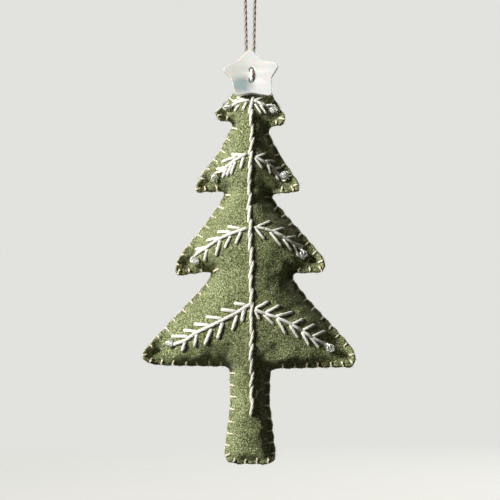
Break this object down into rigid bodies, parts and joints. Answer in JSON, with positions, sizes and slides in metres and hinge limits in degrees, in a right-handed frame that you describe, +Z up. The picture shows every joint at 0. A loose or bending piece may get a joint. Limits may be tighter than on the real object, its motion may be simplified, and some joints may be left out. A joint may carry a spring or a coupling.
{
  "type": "felt christmas ornament",
  "caption": "Stuffed felt fir tree to hang up, its edge blanket-stitched, with embroidered sprigs, glass seed beads, a sewn-on shell star button and a twisted thread loop.",
  "frame": {"origin": "where a hook bears, inside the top of the thread loop, in the plane of the seam", "axes": "+Z up the tree towards the loop, -Y out of the embroidered front, +X to the viewer's right"},
  "size_m": [0.0542, 0.0174, 0.1205],
  "materials": {
    "felt": "matte",
    "filling": "matte",
    "edge_thread": "satin",
    "floss": "satin",
    "glass_bead": "gloss",
    "shell": "gloss",
    "twine": "matte"
  },
  "bodies": {
    "loop": {"hanging_loop": "twine"},
    "strands": {"strand_left": "twine", "strand_right": "twine"},
    "tree": {"front_felt": "felt", "back_felt": "felt", "stuffing": "filling", "blanket_stitch": "edge_thread", "stem_stitch": "floss", "sprig_left_1": "floss", "sprig_left_2": "floss", "sprig_left_3": "floss", "sprig_left_4": "floss", "sprig_right_1": "floss", "sprig_right_2": "floss", "sprig_right_3": "floss", "sprig_right_4": "floss", "bead_left_1": "glass_bead", "bead_left_2": "glass_bead", "bead_left_3": "glass_bead", "bead_left_4": "glass_bead", "bead_right_1": "glass_bead", "bead_right_2": "glass_bead", "bead_right_3": "glass_bead", "bead_right_4": "glass_bead", "button_thread": "floss", "loop_knot": "twine"},
    "star": {"star_button": "shell"}
  },
  "joints": [
    {"name": "tree_twist", "type": "hinge", "parent": "loop", "child": "strands", "pos_m": [0, 0, -0.0095], "axis": [0, 0, 1], "range_deg": [-180, 180]},
    {"name": "tree_swing", "type": "hinge", "parent": "strands", "child": "tree", "pos_m": [0, 0, -0.02115], "axis": [1, 0, 0], "range_deg": [-20, 90]},
    {"name": "star_turn", "type": "hinge", "parent": "tree", "child": "star", "pos_m": [0, -0.00321, -0.02514], "axis": [0, -0.9703, 0.2419], "range_deg": [-8, 8]}
  ]
}
